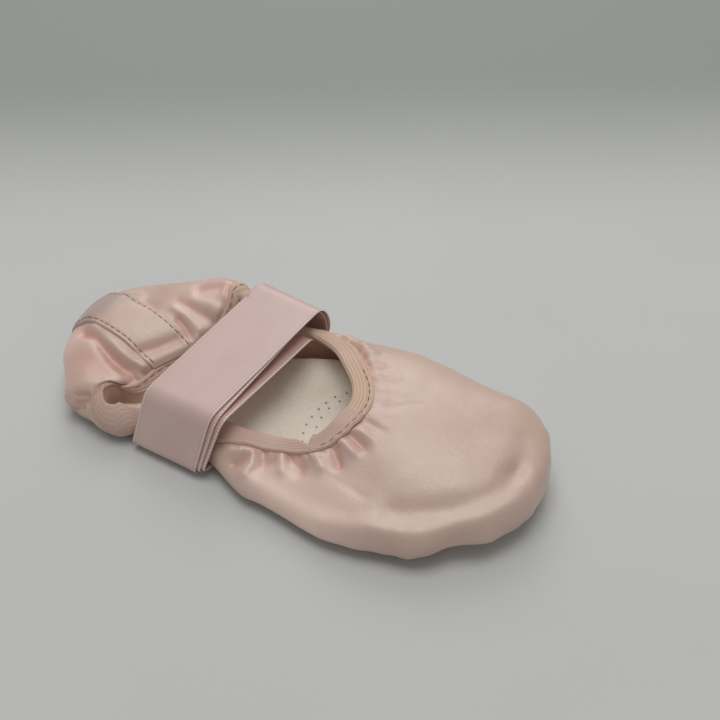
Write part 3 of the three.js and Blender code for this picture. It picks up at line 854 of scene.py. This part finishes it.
# Sizes in mm, places in sixteenths round the shoe. The near half ends in a cut edge on the far half
binding = dict(
    thick=0.75, gap=0.15, ribPitch=1.1, ribDepth=0.17, ribPower=0.8, foldHeight=1.1, lowest=0.1,
    legRows=62, foldRows=22, innerRows=30, edgeRow=9, middleRow=30, innerStep=5, outerStep=6,
    stitchIn=1.5, stitchSink=0.15, grooveWidth=0.4, grooveSide=0.8, lipFrom=0.2, lipOver=0.5,
    edgeDrop=0.6, edgeWidth=0.4, nearSoftness=0.5,
    nearFrom=9.5, nearOver=0.4, heelFrom=5.6, heelOver=0.5, heelEnd=10, heelShare=0.6,
    overlapFrom=14.6, overlapOver=0.6, overlapAt=15.72, overlapStep=0.4, uvAcross=3,
)


def makeBinding(surface, normals):
    # one cross-section: up the outer leg, over the edge, down the inner leg, and back inside
    u, leg, b = surface['u'], surface['leg'], binding
    outDistance = leg[:, None] * np.linspace(1, 0, b['legRows'])[None, :]
    inDistance = roundTable(bindingLeg, 'inner', u)[:, None] * np.linspace(0, 1, b['innerRows'])[None, :]
    outSpots, outFacing = wallPlace(surface, normals, outDistance)
    inSpots, inFacing = wallPlace(surface, normals, inDistance)
    edge, facing = outSpots[:, -1], outFacing[:, -1]
    up = unit(edge - outSpots[:, -1 - b['edgeRow']])
    wall, gap, thick = shoe['wall'], b['gap'], b['thick']
    across = wall / 2 + gap + thick
    turn = np.linspace(0, math.pi, b['foldRows'] + 2)[1:-1]
    # ribs run along the fold, so their height follows the way over the section
    overDistance = np.repeat(-across * turn[None, :], len(u), axis=0)
    fromFold = np.concatenate([outDistance, overDistance, -across * math.pi - inDistance], axis=1)
    fromEdge = leg[:, None] - fromFold
    rib = (0.5 - 0.5 * np.cos(2 * math.pi * fromFold / b['ribPitch'])) ** b['ribPower']
    lip = rampUp(fromEdge, b['stitchIn'] + b['lipFrom'], b['lipOver'])
    groove = b['grooveSide'] * (1 - bell(fromEdge - b['stitchIn'], b['grooveWidth']))
    rib = lip * rib + (1 - lip) * groove
    roundPlace = u * fullRound
    beforeCut = roundPlace < b['overlapAt']
    nearHalf = rampUp(roundPlace, b['nearFrom'], b['nearOver']) * beforeCut
    heelHalf = b['heelShare'] * rampUp(roundPlace, b['heelFrom'], b['heelOver']) * (roundPlace < b['heelEnd'])
    nearHalf = np.maximum(nearHalf, heelHalf)[:, None]
    onTop = b['overlapStep'] * rampUp(roundPlace, b['overlapFrom'], b['overlapOver']) * beforeCut
    lift = b['ribDepth'] * (1 - b['nearSoftness'] * nearHalf) * (rib - 1) + onTop[:, None]
    lift -= b['edgeDrop'] * bell(np.maximum(fromEdge, 0), b['edgeWidth'])
    legEnd, foldEnd = b['legRows'], b['legRows'] + b['foldRows']
    outer = outSpots + outFacing * (gap + thick + lift[:, :legEnd])[..., None]
    middle = edge - facing * wall / 2
    reach = (across + lift[:, legEnd:foldEnd])[..., None]
    # by the heel the fold hangs down inside
    hang = roundTable(collarTrim, 'hang', u)[:, None, None] * np.array([0, 0, -1.0])
    sideways = facing[:, None] * reach * np.cos(turn)[None, :, None]
    upwards = (up[:, None] * b['foldHeight'] * reach + hang) * np.sin(turn)[None, :, None]
    over = middle[:, None] + sideways + upwards
    inner = inSpots - inFacing * (wall + gap + thick + lift[:, foldEnd:])[..., None]
    backIn = inSpots[:, ::-b['innerStep']] - inFacing[:, ::-b['innerStep']] * (wall + gap)
    backOut = outSpots[:, ::-b['outerStep']] + outFacing[:, ::-b['outerStep']] * gap
    section = np.concatenate([outer, over, inner, backIn, backOut[:, :-1], outer[:, :1]], axis=1)[:, ::-1]
    section[..., 2] = np.maximum(section[..., 2], b['lowest'])
    hidden = np.zeros((len(u), backIn.shape[1] + backOut.shape[1] - 1))
    marks = np.concatenate([rib, hidden, rib[:, :1]], axis=1)[:, ::-1]
    edgeWay = walkedAlong(outer[:, b['middleRow']]) * uvPerMm
    sectionWay = np.linspace(0, b['uvAcross'], section.shape[1])
    uv = np.stack(np.broadcast_arrays(edgeWay[:, None], sectionWay[None, :]), -1)
    piece = layGrid('collarBinding', section, uv, dict(rib=marks, nearHalf=nearHalf))
    dress(piece, 'elastic', ['collar_binding'], elastic)
    seamSpots, seamFacing = wallPlace(surface, normals, leg[:, None] - b['stitchIn'])
    proud = gap + thick - b['stitchSink'] + onTop[:, None]
    return piece, seamSpots[:, 0] + seamFacing[:, 0] * proud, seamFacing[:, 0]


collarBinding, stitchLine, stitchFacing = makeBinding(upperSurface, upperNormals)
print('binding made', len(collarBinding.data.polygons))

# Stitches in mm. Those of the binding show from the ball of the foot to the throat, and along the heel
bindingSeam = dict(pitch=2.9, length=2.0, radius=0.19, proud=0.0)
bindingSeamRuns = dict(throatStitches=(14.1, 17.9), heelStitches=(5.2, 9.2))
stripSeam = dict(pitch=2.6, length=1.9, radius=0.17, proud=0.02)
stitchShape = dict(segments=8, rings=6, waist=0.05, sag=0.35)


def shapeStitch(seam):
    # a sphere drawn out along x, its ends bent down
    radius, length = seam['radius'], seam['length']
    deselect()
    bpy.ops.mesh.primitive_uv_sphere_add(
        segments=stitchShape['segments'], ring_count=stitchShape['rings'],
        radius=radius * mm, rotation=(0, math.pi / 2, 0))
    stitch = bpy.context.object
    bpy.ops.object.transform_apply(location=True, rotation=True, scale=True)
    spots = np.empty(len(stitch.data.vertices) * 3)
    stitch.data.vertices.foreach_get('co', spots)
    spots = spots.reshape(-1, 3) / mm
    end = np.abs(spots[:, 0]) > stitchShape['waist'] * radius
    spots[:, 0] += np.sign(spots[:, 0]) * np.where(end, length / 2 - radius, 0)
    spots[:, 2] -= stitchShape['sag'] * radius * (2 * spots[:, 0] / length) ** 2
    return stitch, spots


def sewLine(name, line, facing, slotName, seam):
    # the stitch is copied along the seam
    stitch, spots = shapeStitch(seam)
    walked = walkedAlong(line)
    count, half = int(walked[-1] // seam['pitch']), seam['length'] / 2

    def at(w, field):
        return np.array([np.interp(w, walked, field[:, c]) for c in range(3)])

    copies = []
    for k in range(count):
        way = (k + 0.5) * walked[-1] / count
        along = unit(at(min(way + half, walked[-1]), line) - at(max(way - half, 0), line))
        side = unit(np.cross(unit(at(way, facing)), along))
        out = np.cross(along, side)
        placed = at(way, line) + out * seam['proud']
        placed = placed + spots[:, :1] * along + spots[:, 1:2] * side + spots[:, 2:] * out
        copy = stitch.copy()
        copy.data = stitch.data.copy()
        scene.collection.objects.link(copy)
        copy.data.vertices.foreach_set('co', ((placed + shift) * mm).ravel())
        copies.append(copy)
    bpy.data.objects.remove(stitch, do_unlink=True)
    sewn = joinCopies(name, copies)
    bpy.ops.object.shade_smooth()
    dress(sewn, slotName, [], brownThread)


for name, ends in bindingSeamRuns.items():
    start, end = (int(place / fullRound * upperShape['stations']) for place in ends)
    run = np.arange(start, end) % upperShape['stations']
    sewLine(name, stitchLine[run], stitchFacing[run], 'elastic', bindingSeam)
print('binding sewn')

# Heel strip: its two edges in sixteenths round the shoe, by distance below the collar edge, sizes in mm
heelStrip = dict(
    below=(0, 9, 20, 34, 90), far=(7.4, 7.4, 7.45, 7.5, 7.5), near=(8.46, 8.42, 8.3, 8.2, 8.2),
    start=3.0, slant=2.2, lowest=-0.55, middle=0.49, rows=96, across=40, halfWide=9.6,
    thick=0.95, backing=0.6, foldRound=0.6, groove=0.2, grooveAt=1.6, grooveWidth=0.4, crown=0.2, sink=0.08,
    dip=[(-51.4, -8, 17.8), (-49.4, -5.6, 18), (-46.8, -2.2, 18.4), (-44, 1.8, 18.8)],
    dipDepth=0.9, dipWidth=2.2, dipShade=0.55, dipShadeWidth=2, edgeShade=0.3, edgeShadeWidth=0.4,
    # the back of the crest gets painted shade: a share of the fold tint and of the grey tint
    backFrom=27, backOver=5, backShade=0.15, backGreyShade=0.75,
    seams=dict(heelStitchesNear=(2.0, 1), heelStitchesFar=(1.3, -1)), seamStart=3,
)


def surfaceAt(surface, normals, u, below):
    # one place on the shaped wall, between stations
    place = u * upperShape['stations']
    i = int(math.floor(place))
    t = place - i

    def at(field, k):
        return np.array([np.interp(below, surface['below'][k], field[k, :, c]) for c in range(3)])

    return [(1 - t) * at(field, i) + t * at(field, i + 1) for field in (surface['spots'], normals)]


def makeHeelStrip(surface, normals):
    shape = heelStrip
    side = np.linspace(-1, 1, shape['across'] + 1)
    middle = int(round(shape['middle'] * upperShape['stations']))
    lowest = np.interp(-shape['lowest'], -surface['v'], surface['below'][middle])
    rows = np.linspace(0, 1, shape['rows'])
    spots = np.zeros((len(side), len(rows), 3))
    facing = np.zeros_like(spots)
    for j, across in enumerate(0.5 + 0.5 * side):
        start = shape['start'] + shape['slant'] * across
        for k, row in enumerate(rows):
            below = start + (lowest - start) * row
            far, near = (np.interp(below, shape['below'], shape[key]) for key in ('far', 'near'))
            place = (far + (near - far) * across) / fullRound
            spots[j, k], facing[j, k] = surfaceAt(surface, normals, place, below)
    facing = unit(facing)
    # folded edges, a stitched groove beside each, and the dip just before the binding
    fromEdge = (1 - np.abs(side)) * shape['halfWide']
    proud = shape['thick'] * np.sqrt(np.clip(fromEdge / shape['foldRound'], 0, 1)) - shape['sink']
    proud += shape['crown'] * (1 - side ** 2)
    proud -= shape['groove'] * bell(fromEdge - shape['grooveAt'], shape['grooveWidth'])
    dip = distanceTo(spots, shape['dip'])
    spots = spots + facing * (proud[:, None] - shape['dipDepth'] * bell(dip, shape['dipWidth']))[..., None]
    way = walkedAlong(spots)
    uv = np.stack(np.broadcast_arrays(side[:, None] * shape['halfWide'], way), -1) * uvPerMm
    behind = rampUp(way, shape['backFrom'], shape['backOver'])  # the back of the crest is painted in shade, duller and greyer
    # painted shade: the fold tint by the folded edges, in the dip and on the back of the crest
    fold = shape['edgeShade'] * bell(fromEdge, shape['edgeShadeWidth'])[:, None]
    fold = fold + shape['dipShade'] * bell(dip, shape['dipShadeWidth']) + shape['backShade'] * behind
    piece = layGrid('heelStrip', spots, uv, dict(fold=fold, grimeAndShade=shape['backGreyShade'] * behind))
    dress(piece, 'satin', ['heel_strip'], satin)
    thicken(piece, shape['backing'], -1)
    first = shape['seamStart']
    for name, (inset, sign) in shape['seams'].items():
        row = int(np.argmin(np.abs(side - sign * (1 - inset / shape['halfWide']))))
        sewLine(name, spots[row, first:], facing[row, first:], 'satin', stripSeam)


makeHeelStrip(upperSurface, upperNormals)
print('heel strip made')

# Insole: insets of its edges and levels in mm. The front pad's rear edge shows through as an arc,
# and the sock rises to the far wall
sockInsole = dict(
    stations=320, rings=60, edge=5.8, under=7.2, middle=9.3, step=0.3, top=5.3, seat=3.75, low=2.2,
    rimOut=0.2, rimDrop=0.5, rimIn=0.3, rimFoot=0.4,
    arcX=5.2, arcBend=0.036, arcY=3.5, ridge=0.35, ridgeWidth=1.3, padStep=0.2, padOver=2, fadeRate=12,
    slack=((0.12, 11, 4), (0.2, 30, 5)),  # height, length and seed of the gentle waves
    farRise=8.0, farFrom=3, farOver=23, riseStart=-26, riseEnd=40, riseOver=22,
)
# Needle pricks through the insole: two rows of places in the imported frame, sizes in mm
needlePricks = dict(
    places=[
        (7.9, -3.8), (6.8, -0.1), (6.6, 3.6), (7.2, 7.1), (8.4, 9.9), (10.3, 12.6), (13.3, 14.9),
        (9.6, -7.2), (12.4, -10.6), (11.3, -3.0), (10.2, 0.6), (9.5, 4.8), (10.2, 8.7), (12.4, 11.9),
    ],
    radius=0.4, corners=10, proud=0.12, depth=0.5, skinLevel=5,
)


def makeInsole():
    shape = sockInsole
    x, y, outX, outY = outlineAt(np.arange(shape['stations']) / shape['stations'])

    def loop(inset, level, share=1.0):
        flatX, flatY = (x - outX * inset) * share, (y - outY * inset) * share
        return np.stack([flatX, flatY, level + soleLift(flatX)], -1)

    def topLoop(share):
        spots = loop(shape['edge'], shape['top'], share)
        shown = min(1, (1 - share) * shape['fadeRate'])  # the relief fades out at the edge
        if shown:
            lx, ly = spots[:, 0], spots[:, 1]
            fromArc = lx - shape['arcX'] - shape['arcBend'] * (ly - shape['arcY']) ** 2
            relief = shape['ridge'] * bell(fromArc, shape['ridgeWidth'])
            relief += shape['padStep'] * rampUp(fromArc, 0, shape['padOver'])
            spots[:, 2] += shown * relief
            spots[:, 2] += sum(height * waves(spots, length, seed) for height, length, seed in shape['slack'])
            toFar = rampUp(ly, shape['farFrom'], shape['farOver'])
            toFar = toFar * rampUp(lx, shape['riseStart'], shape['riseOver'])
            toFar = toFar * rampDown(lx, shape['riseEnd'], shape['riseOver'])
            spots[:, 2] += shown * shape['farRise'] * toFar
        return spots

    top = [topLoop(share) for share in np.linspace(0, 1, shape['rings'])]
    rim = [
        loop(shape['edge'] - shape['rimOut'], shape['top'] - shape['rimDrop']),
        loop(shape['edge'] + shape['rimIn'], shape['seat'] + shape['rimFoot']),
    ]
    under = [loop(shape['under'], shape['seat']), loop(shape['middle'], shape['seat'])]
    base = [loop(shape['middle'] + shape['step'], shape['low'], share) for share in (1, 0.75, 0.4, 0.0)]
    for point in (top[0], base[-1]):
        point[:] = point.mean(axis=0)
    piece = layPlate('sockInsole', top + rim + under + base)
    dress(piece, 'canvas', ['insole'], canvas)
    return piece


def makeNeedlePricks(insolePiece):
    shape = needlePricks
    mesh = insolePiece.data
    skin = np.empty(len(mesh.vertices) * 3)
    mesh.vertices.foreach_get('co', skin)
    skin = skin.reshape(-1, 3) / mm
    skin = skin[skin[:, 2] >= shape['skinLevel']]

    def sink():
        bpy.ops.mesh.extrude_region_move(TRANSFORM_OT_translate=dict(value=(0, 0, -shape['depth'] * mm)))

    made = []
    for x, y in shape['places']:
        near = np.argsort(np.hypot(skin[:, 0] - x, skin[:, 1] - y))[:3]
        place = Vector((x, y, skin[near, 2].mean() + shape['proud'])) * mm
        deselect()
        bpy.ops.mesh.primitive_circle_add(
            vertices=shape['corners'], radius=shape['radius'] * mm, fill_type='TRIFAN', location=place)
        bpy.ops.object.transform_apply(location=True, rotation=True, scale=True)
        editAll(sink, faceOutwards)
        made.append(bpy.context.object)
    dress(joinCopies('needlePricks', made), 'canvas', [], prickBrown)


makeNeedlePricks(makeInsole())
print('insole made')

# Sole pads, mm along the shoe. skin: loops from the middle of the top, round the edge, to the middle below
frontPad = dict(rear=3, front=73, inset=11, rearRound=26, frontRound=30)
heelPad = dict(rear=-78, front=-51, inset=9, rearRound=17, frontRound=13)
solePad = dict(
    steps=90, endGap=0.2,
    skin=[(0.0, 1.45), (0.5, 1.45), (0.85, 1.45), (0.975, 1.45), (0.995, 1.2), (1, 0.75), (0.99, 0.3),
          (0.965, 0.02), (0.9, 0.0), (0.6, 0.0), (0.3, 0.0), (0.0, 0.05)],  # share of the outline, level
)


def makeSolePad(name, node, pad):
    length = pad['front'] - pad['rear'] - 2 * solePad['endGap']
    spread = (1 - np.cos(np.linspace(0, math.pi, solePad['steps']))) / 2
    x = pad['rear'] + solePad['endGap'] + length * spread
    half = halfWidth(x) - pad['inset']
    for end in ('rear', 'front'):
        fromEnd = np.minimum(np.abs(x - pad[end]) / pad[end + 'Round'], 1)
        half = half * np.sqrt(1 - (1 - fromEnd) ** 2)
    outline = np.concatenate([np.stack([x, half], -1), np.stack([x[::-1], -half[::-1]], -1)[1:-1]])
    middle = np.array([(pad['rear'] + pad['front']) / 2, 0])
    loops = []
    for share, level in solePad['skin']:
        flatX, flatY = (middle + (outline - middle) * share).T
        loops.append(np.stack([flatX, flatY + toeSwing(flatX), level + soleLift(flatX)], -1)[::-1])
    piece = layPlate(name, loops)
    editAll(faceOutwards)
    dress(piece, 'suede', [node], suede)


makeSolePad('frontSolePad', 'front_sole_pad', frontPad)
makeSolePad('heelSolePad', 'heel_sole_pad', heelPad)
print('sole pads made')

# Ribbon: its start inside the far wall, then the bends of the innermost turn seen along the shoe.
# x is its rear edge, drift the step of that edge per turn, flare how far the rear edge stands out
ribbon = dict(
    width=ribbonWidth, thick=0.22, step=0.55, turns=2, across=32, stride=0.9, bendSteps=16,
    tuckedEnd=(0.6, 13, -0.1, 0), ripple=0.10, rippleLength=16, rippleSeed=3, edgeCurl=0.08, edgePower=8,
    outerTurn=100, outerOver=8,
)
ribbonStart = [dict(x=-28, y=21.4, z=21.8, radius=0), dict(x=-28, y=20, z=23.4, radius=1.2)]
ribbonBends = dict(
    x=(-33.5, -37.5, -31.5, -28.5, -30), y=(-23.3, -31.4, 31, 31, 28.4), z=(20.7, 3.2, 3.2, 21.5, 29.2),
    drift=(-1.8, -1.4, -1.5, 1, 1.1), radius=(3.6, 3.2, 3.2, 4.5, 4.2), flare=(0.5, 0.8, 0.5, 2.5, 3.2),
)


def ribbonCorners():
    bends, table = len(ribbonBends['y']), ribbonBends
    corners = [np.array([row['x'], row['y'], row['z'], 0.0]) for row in ribbonStart]
    radii = [row['radius'] for row in ribbonStart]
    for i in range(ribbon['turns'] * bends + 2):
        k, out = i % bends, ribbon['step'] * i / bends  # each turn lies on the one before
        y, z = (table[key][k] + np.sign(table[key][k] - np.mean(table[key])) * out for key in 'yz')
        corners.append(np.array([table['x'][k] + table['drift'][k] * (i // bends), y, z, table['flare'][k]]))
        radii.append(table['radius'][k])
    corners.append(corners[-1] + np.array(ribbon['tuckedEnd']))  # under the shoe
    return corners, radii


def ribbonPath():
    corners, radii = ribbonCorners()
    way = [corners[0]]
    for i in range(1, len(corners) - 1):
        here = corners[i]
        legs = [other - here for other in (corners[i - 1], corners[i + 1])]
        enter, leave = (here + leg * radii[i] / np.linalg.norm(leg[:3]) for leg in legs)
        for t in np.linspace(0, 1, ribbon['bendSteps']):
            way.append(enter * (1 - t) ** 2 + 2 * here * t * (1 - t) + leave * t * t)
    way = np.array(way + [corners[-1]])
    walked = walkedAlong(way[:, 1:3])
    even = np.linspace(0, walked[-1], int(walked[-1] / ribbon['stride']))
    return np.stack([np.interp(even, walked, way[:, k]) for k in range(4)], -1), even


def makeRibbon():
    way, walked = ribbonPath()
    across = np.linspace(0, 1, ribbon['across'] + 1)
    way, flare = way[:, :3], way[:, 3]
    along = np.gradient(way, axis=0)
    out = unit(np.stack([np.zeros(len(way)), along[:, 2], -along[:, 1]], -1))
    spots = way[:, None] + np.array([ribbon['width'], 0, 0]) * across[None, :, None]
    spots[..., 1] += flare[:, None] * (1 - across)[None, :]
    edge = np.abs(2 * across - 1)[None, :]
    drawnOut = spots * np.array([1, 0.5, 0.5])  # ripples are longer along the ribbon
    ripple = ribbon['ripple'] * waves(drawnOut, ribbon['rippleLength'], ribbon['rippleSeed'])
    ripple = ripple + ribbon['edgeCurl'] * edge ** ribbon['edgePower']
    spots = spots + out[:, None] * ripple[..., None]
    uv = np.stack(np.broadcast_arrays(across[None, :] * ribbon['width'], walked[:, None]), -1) * uvPerMm
    length = walked[-1]
    inner = 1 - rampUp(walked, length - ribbon['outerTurn'], ribbon['outerOver'])  # turns below the outer one, painted in shade
    piece = layGrid('woundRibbon', spots, uv, dict(inner=inner[:, None]))
    dress(piece, 'ribbon_satin', ['ribbon'], ribbonBack, ribbonSatin)
    thicken(piece, ribbon['thick'], 0, 1)
    print('ribbon made, length in mm', round(length))


makeRibbon()

# Floor, the painted shade on its far part and the light, in metres
studio = dict(
    floorTint=(0.605, 0.615, 0.60), farTint=(0.325, 0.335, 0.325), patchShare=0.97,
    farFrom=(0.10, 0.26), floorSize=5, patchScale=6, grainScale=700, grainDepth=0.02, world=0.33,
)
lamps = dict(
    window=dict(place=(-0.55, 0.95, 0.98), size=0.85, power=5.1),
    top=dict(place=(-0.02, 0.06, 1.3), size=0.8, power=6.1),
)


def makeFloor():
    deselect()
    bpy.ops.mesh.primitive_plane_add(size=studio['floorSize'])
    floor = bpy.context.object
    floor.name = 'floor'
    finish, tree, shader = newFinish('paleFloor', 0.85)
    spot = objectSpot(tree)
    darker = tuple(studio['patchShare'] * part for part in studio['floorTint'])
    worn = patches(tree, spot, studio['patchScale'], 0.35, 0.65)
    tint = blendTints(tree, worn, studio['floorTint'], darker)
    turned = addNode(tree, 'Mapping', Vector=spot, Rotation=(0, 0, -math.radians(photoView['turn'])))
    away = addNode(tree, 'SeparateXYZ', Vector=turned.outputs['Vector']).outputs['Y']  # from the camera
    # painted shade: the floor darkens away from the camera, where less light reaches it
    tint = blendTints(tree, stretch(tree, away, *studio['farFrom']), tint, studio['farTint'])
    paint(tree, shader, tint, [(cloud(tree, spot, studio['grainScale']), studio['grainDepth'])])
    floor.data.materials.append(finish)


def makeLight():
    for name, lamp in lamps.items():
        place = Vector(lamp['place'])
        aim = (-place).to_track_quat('-Z', 'Y').to_euler()
        bpy.ops.object.light_add(type='AREA', location=place, rotation=aim)
        light = bpy.context.object
        light.name = name + 'Lamp'
        light.data.size = lamp['size']
        light.data.energy = lamp['power']
    world = bpy.data.worlds.new('softRoom')
    world.use_nodes = True
    room = world.node_tree.nodes['Background']
    room.inputs['Color'].default_value = (1, 1, 1, 1)
    room.inputs['Strength'].default_value = studio['world']
    scene.world = world


makeFloor()
makeLight()
print('floor and light set')
